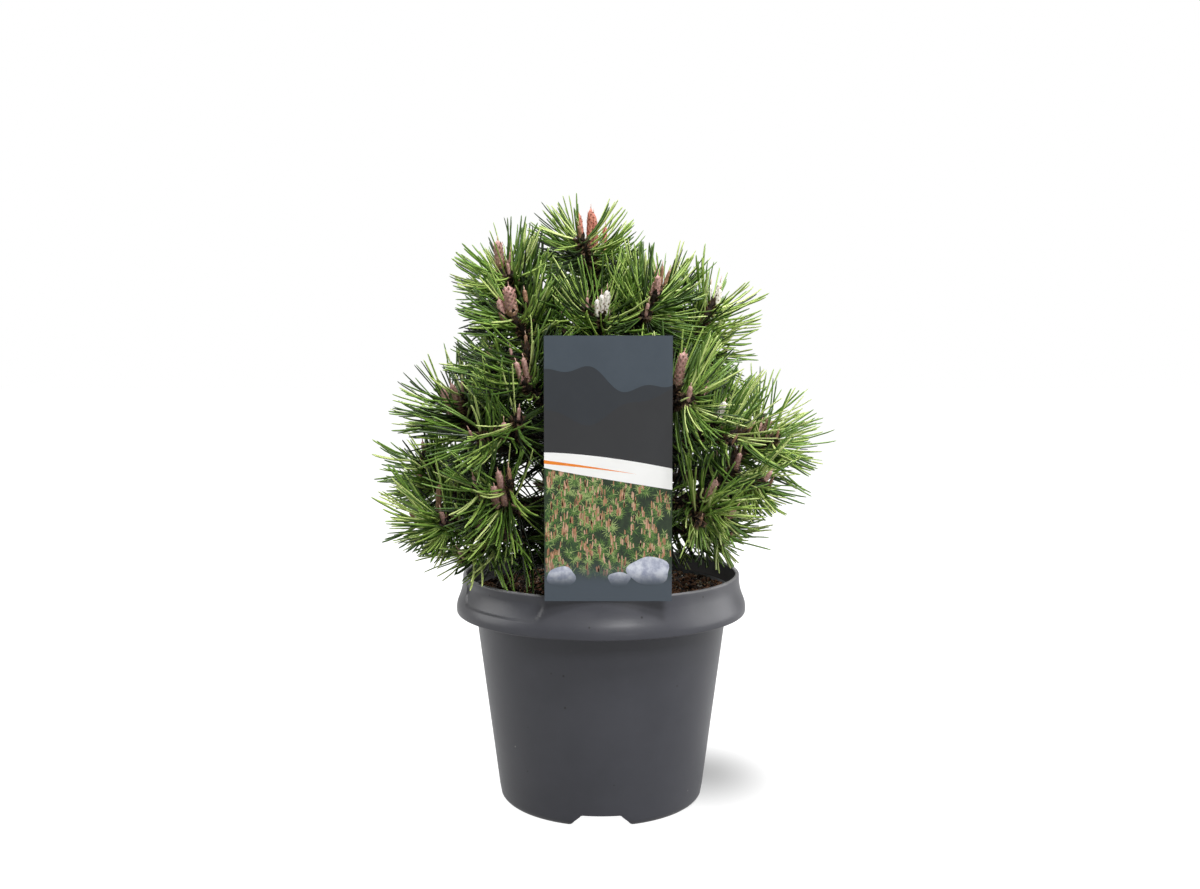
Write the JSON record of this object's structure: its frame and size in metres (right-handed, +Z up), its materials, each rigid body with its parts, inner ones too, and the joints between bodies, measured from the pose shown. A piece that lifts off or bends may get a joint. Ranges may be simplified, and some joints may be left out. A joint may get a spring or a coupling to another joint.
{
  "type": "mugo pine in a nursery pot",
  "caption": "Compact mugo pine with dense pairs of needles and winter buds, in a plain round nursery pot with a picture label hooked on its rim.",
  "frame": {"origin": "centre of the pot's flat underside", "axes": "+Z up along the pot's axis, -Y towards the front, where the label stands, +X to the right"},
  "size_m": [0.2928, 0.2491, 0.392],
  "materials": {
    "pot_plastic": "satin",
    "potting_mix": "matte",
    "label_card": "satin",
    "bark": "matte",
    "needles": "satin"
  },
  "bodies": {
    "root": {"pot": "pot_plastic", "potting_mix": "potting_mix", "plant_label": "label_card", "trunk": "bark", "bough_lower_01": "bark", "bough_lower_02": "bark", "bough_lower_03": "bark", "bough_lower_04": "bark", "bough_lower_05": "bark", "bough_lower_06": "bark", "bough_lower_07": "bark", "bough_lower_08": "bark", "bough_lower_09": "bark", "bough_lower_10": "bark", "bough_lower_11": "bark", "bough_middle_01": "bark", "bough_middle_02": "bark", "bough_middle_03": "bark", "bough_middle_04": "bark", "bough_middle_05": "bark", "bough_middle_06": "bark", "bough_middle_07": "bark", "bough_middle_08": "bark", "bough_middle_09": "bark", "bough_middle_10": "bark", "needles_crown_01": "needles", "needles_crown_02": "needles", "needles_crown_03": "needles", "needles_crown_04": "needles", "needles_crown_05": "needles", "needles_crown_06": "needles", "needles_crown_07": "needles", "needles_crown_08": "needles", "needles_crown_09": "needles", "needles_crown_10": "needles", "needles_inner_01": "needles", "needles_inner_02": "needles", "needles_leader": "needles", "needles_lower_01": "needles", "needles_lower_02": "needles", "needles_lower_03": "needles", "needles_lower_04": "needles", "needles_lower_05": "needles", "needles_lower_06": "needles", "needles_lower_07": "needles", "needles_lower_08": "needles", "needles_lower_09": "needles", "needles_lower_10": "needles", "needles_lower_11": "needles", "needles_middle_01": "needles", "needles_middle_02": "needles", "needles_middle_03": "needles", "needles_middle_04": "needles", "needles_middle_05": "needles", "needles_middle_06": "needles", "needles_middle_07": "needles", "needles_middle_08": "needles", "needles_middle_09": "needles", "needles_middle_10": "needles"}
  },
  "joints": []
}
